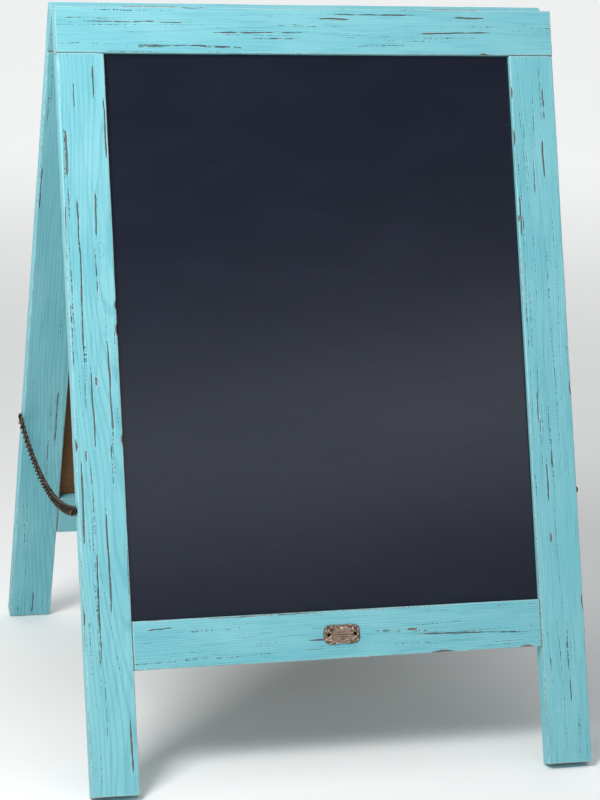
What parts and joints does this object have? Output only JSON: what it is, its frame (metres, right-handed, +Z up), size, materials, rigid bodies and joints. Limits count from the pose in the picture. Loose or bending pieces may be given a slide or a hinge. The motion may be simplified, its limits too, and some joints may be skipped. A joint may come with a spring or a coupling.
{
  "type": "folding chalkboard sign",
  "caption": "Free-standing A-frame chalkboard sign: two hinged timber frames with slate panels, kept open by side chains.",
  "frame": {"origin": "middle of the open sign's footprint, on the ground", "axes": "+X to the right as the plaque side is read, +Y to the back, +Z up"},
  "size_m": [0.622, 0.6572, 0.8672],
  "materials": {
    "turquoise_paint": "distressed satin turquoise paint over open-grained timber, with dark grain cracks and bare chips",
    "chalkboard": "smooth slate-dark writing coat on hardboard, raw brown hardboard on the inner side",
    "beech": "plain fluted beech",
    "hinge_steel": "plain zinc-plated steel",
    "chain_bronze": "near-black antique bronze plating on steel, tan where it is rubbed",
    "plaque_bronze": "aged pinkish bronze, dark in the hollows"
  },
  "bodies": {
    "front_frame": {"front_left_stile": "turquoise_paint", "front_right_stile": "turquoise_paint", "front_top_rail": "turquoise_paint", "front_bottom_rail": "turquoise_paint", "front_chalk_panel": "chalkboard", "front_left_top_dowel_outer": "beech", "front_left_top_dowel_inner": "beech", "front_left_bottom_dowel_upper": "beech", "front_left_bottom_dowel_lower": "beech", "front_right_top_dowel_outer": "beech", "front_right_top_dowel_inner": "beech", "front_right_bottom_dowel_upper": "beech", "front_right_bottom_dowel_lower": "beech", "front_left_hinge_screw_1": "hinge_steel", "front_left_hinge_screw_2": "hinge_steel", "left_hinge_front_leaf": "hinge_steel", "front_left_chain_screw": "chain_bronze", "front_right_hinge_screw_1": "hinge_steel", "front_right_hinge_screw_2": "hinge_steel", "right_hinge_front_leaf": "hinge_steel", "front_right_chain_screw": "chain_bronze", "left_hinge_pin": "hinge_steel", "right_hinge_pin": "hinge_steel", "front_plaque": "plaque_bronze", "plaque_nail_left": "plaque_bronze", "plaque_nail_right": "plaque_bronze"},
    "back_frame": {"back_left_stile": "turquoise_paint", "back_right_stile": "turquoise_paint", "back_top_rail": "turquoise_paint", "back_bottom_rail": "turquoise_paint", "back_chalk_panel": "chalkboard", "back_left_top_dowel_outer": "beech", "back_left_top_dowel_inner": "beech", "back_left_bottom_dowel_upper": "beech", "back_left_bottom_dowel_lower": "beech", "back_right_top_dowel_outer": "beech", "back_right_top_dowel_inner": "beech", "back_right_bottom_dowel_upper": "beech", "back_right_bottom_dowel_lower": "beech", "back_left_hinge_screw_1": "hinge_steel", "back_left_hinge_screw_2": "hinge_steel", "left_hinge_back_leaf": "hinge_steel", "back_left_chain_screw": "chain_bronze", "back_right_hinge_screw_1": "hinge_steel", "back_right_hinge_screw_2": "hinge_steel", "right_hinge_back_leaf": "hinge_steel", "back_right_chain_screw": "chain_bronze"},
    "left_chain_front_1": {"left_chain_front_1": "chain_bronze"},
    "left_chain_front_2": {"left_chain_front_2": "chain_bronze"},
    "left_chain_front_3": {"left_chain_front_3": "chain_bronze"},
    "left_chain_back_1": {"left_chain_back_1": "chain_bronze"},
    "left_chain_back_2": {"left_chain_back_2": "chain_bronze"},
    "left_chain_back_3": {"left_chain_back_3": "chain_bronze"},
    "right_chain_front_1": {"right_chain_front_1": "chain_bronze"},
    "right_chain_front_2": {"right_chain_front_2": "chain_bronze"},
    "right_chain_front_3": {"right_chain_front_3": "chain_bronze"},
    "right_chain_back_1": {"right_chain_back_1": "chain_bronze"},
    "right_chain_back_2": {"right_chain_back_2": "chain_bronze"},
    "right_chain_back_3": {"right_chain_back_3": "chain_bronze"}
  },
  "joints": [
    {"name": "fold", "type": "hinge", "parent": "front_frame", "child": "back_frame", "pos_m": [0, 0, 0.863], "axis": [-1, 0, 0], "range_deg": [0, 39.3]},
    {"name": "left_chain_front_1_pivot", "type": "hinge", "parent": "front_frame", "child": "left_chain_front_1", "pos_m": [-0.30715, -0.20853, 0.3132], "axis": [-1, 0, 0], "range_deg": [0, 76.8]},
    {"name": "left_chain_front_2_pivot", "type": "hinge", "parent": "left_chain_front_1", "child": "left_chain_front_2", "pos_m": [-0.30715, -0.13608, 0.2951], "axis": [-1, 0, 0], "range_deg": [0, 6]},
    {"name": "left_chain_front_3_pivot", "type": "hinge", "parent": "left_chain_front_2", "child": "left_chain_front_3", "pos_m": [-0.30715, -0.06217, 0.28455], "axis": [-1, 0, 0], "range_deg": [0, 9]},
    {"name": "left_chain_back_1_pivot", "type": "hinge", "parent": "back_frame", "child": "left_chain_back_1", "pos_m": [-0.30715, 0.20853, 0.3132], "axis": [-1, 0, 0], "range_deg": [-116.1, 0]},
    {"name": "left_chain_back_2_pivot", "type": "hinge", "parent": "left_chain_back_1", "child": "left_chain_back_2", "pos_m": [-0.30715, 0.13608, 0.2951], "axis": [-1, 0, 0], "range_deg": [-6, 0]},
    {"name": "left_chain_back_3_pivot", "type": "hinge", "parent": "left_chain_back_2", "child": "left_chain_back_3", "pos_m": [-0.30715, 0.06217, 0.28455], "axis": [-1, 0, 0], "range_deg": [0, 24.5]},
    {"name": "right_chain_front_1_pivot", "type": "hinge", "parent": "front_frame", "child": "right_chain_front_1", "pos_m": [0.30715, -0.20853, 0.3132], "axis": [-1, 0, 0], "range_deg": [0, 76.8]},
    {"name": "right_chain_front_2_pivot", "type": "hinge", "parent": "right_chain_front_1", "child": "right_chain_front_2", "pos_m": [0.30715, -0.13608, 0.2951], "axis": [-1, 0, 0], "range_deg": [0, 6]},
    {"name": "right_chain_front_3_pivot", "type": "hinge", "parent": "right_chain_front_2", "child": "right_chain_front_3", "pos_m": [0.30715, -0.06217, 0.28455], "axis": [-1, 0, 0], "range_deg": [0, 9]},
    {"name": "right_chain_back_1_pivot", "type": "hinge", "parent": "back_frame", "child": "right_chain_back_1", "pos_m": [0.30715, 0.20853, 0.3132], "axis": [-1, 0, 0], "range_deg": [-116.1, 0]},
    {"name": "right_chain_back_2_pivot", "type": "hinge", "parent": "right_chain_back_1", "child": "right_chain_back_2", "pos_m": [0.30715, 0.13608, 0.2951], "axis": [-1, 0, 0], "range_deg": [-6, 0]},
    {"name": "right_chain_back_3_pivot", "type": "hinge", "parent": "right_chain_back_2", "child": "right_chain_back_3", "pos_m": [0.30715, 0.06217, 0.28455], "axis": [-1, 0, 0], "range_deg": [0, 24.5]}
  ],
  "couplings": [
    {"joint": "left_chain_front_1_pivot", "follows": "fold", "ratio": 1.9529},
    {"joint": "left_chain_front_2_pivot", "follows": "fold", "ratio": 0.1502},
    {"joint": "left_chain_front_3_pivot", "follows": "fold", "ratio": 0.2283},
    {"joint": "left_chain_back_1_pivot", "follows": "fold", "ratio": -2.9539},
    {"joint": "left_chain_back_2_pivot", "follows": "fold", "ratio": -0.1502},
    {"joint": "left_chain_back_3_pivot", "follows": "fold", "ratio": 0.6216},
    {"joint": "right_chain_front_1_pivot", "follows": "fold", "ratio": 1.9529},
    {"joint": "right_chain_front_2_pivot", "follows": "fold", "ratio": 0.1502},
    {"joint": "right_chain_front_3_pivot", "follows": "fold", "ratio": 0.2283},
    {"joint": "right_chain_back_1_pivot", "follows": "fold", "ratio": -2.9539},
    {"joint": "right_chain_back_2_pivot", "follows": "fold", "ratio": -0.1502},
    {"joint": "right_chain_back_3_pivot", "follows": "fold", "ratio": 0.6216}
  ]
}
